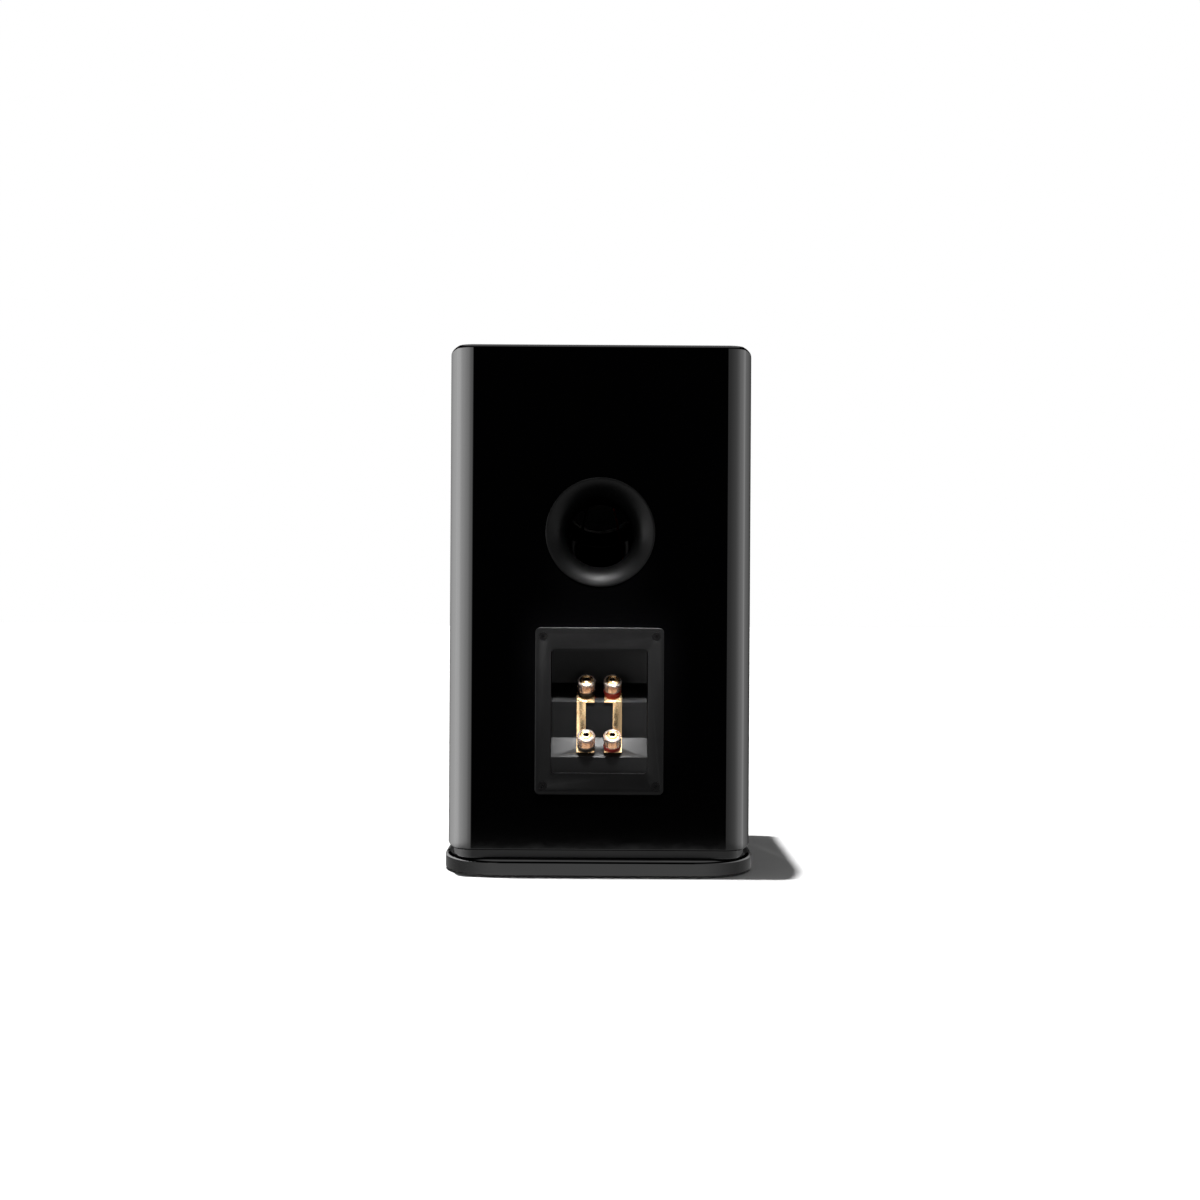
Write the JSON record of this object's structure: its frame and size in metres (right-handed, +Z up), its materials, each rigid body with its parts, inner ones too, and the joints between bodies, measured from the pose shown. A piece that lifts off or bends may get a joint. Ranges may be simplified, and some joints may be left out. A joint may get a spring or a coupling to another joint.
{
  "type": "bookshelf speaker",
  "caption": "Two-way bookshelf loudspeaker with a curved gloss cabinet on a plinth, a rear reflex port and a recessed cup of screw posts with slide-out links.",
  "frame": {"origin": "on the floor under the middle of the plinth, which is the object's widest and deepest piece", "axes": "+Z up; -Y towards the listener, so the port and the posts are at +Y; +X to the right as seen from the front"},
  "size_m": [0.228, 0.29, 0.384],
  "materials": {
    "gloss_lacquer": "fibreboard under high-gloss black lacquer",
    "raw_board": "bare fibreboard",
    "wadding": "white polyester wadding",
    "foot_rubber": "black elastomer",
    "moulded_black": "fine-textured black moulding",
    "blackened_steel": "blackened screws",
    "gold_plate": "gold-plated brass",
    "clear_plastic": "clear moulded sleeve",
    "red_plastic": "red moulded ring",
    "black_plastic": "black moulded ring",
    "cast_frame": "cast frame in satin black paint",
    "surround_rubber": "butyl rubber",
    "cone_paper": "coated black paper pulp",
    "spider_cloth": "corrugated treated cloth",
    "dome_silk": "coated silk",
    "coil_former": "aluminium former wound with copper",
    "plated_steel": "zinc-plated steel",
    "ferrite": "sintered ferrite",
    "circuit_board": "glass-filled laminate",
    "copper_wire": "enamelled copper wire",
    "capacitor_film": "film capacitor",
    "resistor_ceramic": "ceramic-cased resistor",
    "lead_jacket": "insulated stranded wire"
  },
  "bodies": {
    "cabinet": {"back_panel": "gloss_lacquer", "bottom_panel": "gloss_lacquer", "cross_brace": "raw_board", "crossover_board": "circuit_board", "crossover_capacitors": "capacitor_film", "crossover_coils": "copper_wire", "crossover_resistors": "resistor_ceramic", "cup_gasket": "foot_rubber", "cup_screws": "blackened_steel", "damping_pads": "wadding", "front_baffle": "gloss_lacquer", "input_leads": "lead_jacket", "left_side_panel": "gloss_lacquer", "plinth": "gloss_lacquer", "plinth_screws": "blackened_steel", "port_flare": "moulded_black", "port_tube": "moulded_black", "right_side_panel": "gloss_lacquer", "rubber_feet": "foot_rubber", "terminal_cup": "moulded_black", "terminal_nuts": "gold_plate", "terminal_studs": "gold_plate", "top_panel": "gloss_lacquer", "tweeter_faceplate": "moulded_black", "tweeter_leads": "lead_jacket", "tweeter_magnet": "ferrite", "tweeter_rear_chamber": "moulded_black", "tweeter_screws": "blackened_steel", "tweeter_top_plate": "plated_steel", "tweeter_yoke": "plated_steel", "woofer_basket": "cast_frame", "woofer_leads": "lead_jacket", "woofer_magnet": "ferrite", "woofer_screws": "blackened_steel", "woofer_spider": "spider_cloth", "woofer_surround": "surround_rubber", "woofer_tags": "moulded_black", "woofer_top_plate": "plated_steel", "woofer_trim_ring": "surround_rubber", "woofer_yoke": "plated_steel"},
    "woofer_cone_assembly": {"woofer_cone": "cone_paper", "woofer_dust_cap": "cone_paper", "woofer_voice_coil": "coil_former"},
    "tweeter_dome_assembly": {"tweeter_dome": "dome_silk", "tweeter_voice_coil": "coil_former"},
    "link_red": {"jumper_red": "gold_plate"},
    "link_black": {"jumper_black": "gold_plate"},
    "ring_lower_red": {"polarity_ring_lower_red": "red_plastic"},
    "ring_lower_black": {"polarity_ring_lower_black": "black_plastic"},
    "ring_upper_red": {"polarity_ring_upper_red": "red_plastic"},
    "ring_upper_black": {"polarity_ring_upper_black": "black_plastic"},
    "knob_lower_red": {"knob_core_lower_red": "gold_plate", "knob_sleeve_lower_red": "clear_plastic"},
    "knob_lower_black": {"knob_core_lower_black": "gold_plate", "knob_sleeve_lower_black": "clear_plastic"},
    "knob_upper_red": {"knob_core_upper_red": "gold_plate", "knob_sleeve_upper_red": "clear_plastic"},
    "knob_upper_black": {"knob_core_upper_black": "gold_plate", "knob_sleeve_upper_black": "clear_plastic"}
  },
  "joints": [
    {"name": "woofer_excursion", "type": "slide", "parent": "cabinet", "child": "woofer_cone_assembly", "axis": [0, -1, 0], "range_m": [-0.005, 0.005], "stiffness_N_per_m": 900, "deforming": ["woofer_surround", "woofer_spider"]},
    {"name": "tweeter_excursion", "type": "slide", "parent": "cabinet", "child": "tweeter_dome_assembly", "axis": [0, -1, 0], "range_m": [-0.0004, 0.0004], "stiffness_N_per_m": 1500},
    {"name": "link_red_slide", "type": "slide", "parent": "cabinet", "child": "link_red", "axis": [-1, 0, 0], "range_m": [0, 0.016]},
    {"name": "link_black_slide", "type": "slide", "parent": "cabinet", "child": "link_black", "axis": [1, 0, 0], "range_m": [0, 0.016]},
    {"name": "lower_red_travel", "type": "slide", "parent": "cabinet", "child": "ring_lower_red", "axis": [0, 0.7071, 0.7071], "range_m": [0, 0.004]},
    {"name": "lower_red_turn", "type": "hinge", "parent": "ring_lower_red", "child": "knob_lower_red", "pos_m": [-0.0095, 0.13005, 0.09305], "axis": [0, 0.7071, 0.7071], "range_deg": [0, 1440]},
    {"name": "lower_black_travel", "type": "slide", "parent": "cabinet", "child": "ring_lower_black", "axis": [0, 0.7071, 0.7071], "range_m": [0, 0.004]},
    {"name": "lower_black_turn", "type": "hinge", "parent": "ring_lower_black", "child": "knob_lower_black", "pos_m": [0.0095, 0.13005, 0.09305], "axis": [0, 0.7071, 0.7071], "range_deg": [0, 1440]},
    {"name": "upper_red_travel", "type": "slide", "parent": "cabinet", "child": "ring_upper_red", "axis": [0, 0.7071, 0.7071], "range_m": [0, 0.004]},
    {"name": "upper_red_turn", "type": "hinge", "parent": "ring_upper_red", "child": "knob_upper_red", "pos_m": [-0.0095, 0.11675, 0.13235], "axis": [0, 0.7071, 0.7071], "range_deg": [0, 1440]},
    {"name": "upper_black_travel", "type": "slide", "parent": "cabinet", "child": "ring_upper_black", "axis": [0, 0.7071, 0.7071], "range_m": [0, 0.004]},
    {"name": "upper_black_turn", "type": "hinge", "parent": "ring_upper_black", "child": "knob_upper_black", "pos_m": [0.0095, 0.11675, 0.13235], "axis": [0, 0.7071, 0.7071], "range_deg": [0, 1440]}
  ],
  "couplings": [
    {"joint": "lower_red_travel", "follows": "lower_red_turn", "m_per_rad": 0.00015915},
    {"joint": "lower_black_travel", "follows": "lower_black_turn", "m_per_rad": 0.00015915},
    {"joint": "upper_red_travel", "follows": "upper_red_turn", "m_per_rad": 0.00015915},
    {"joint": "upper_black_travel", "follows": "upper_black_turn", "m_per_rad": 0.00015915}
  ]
}
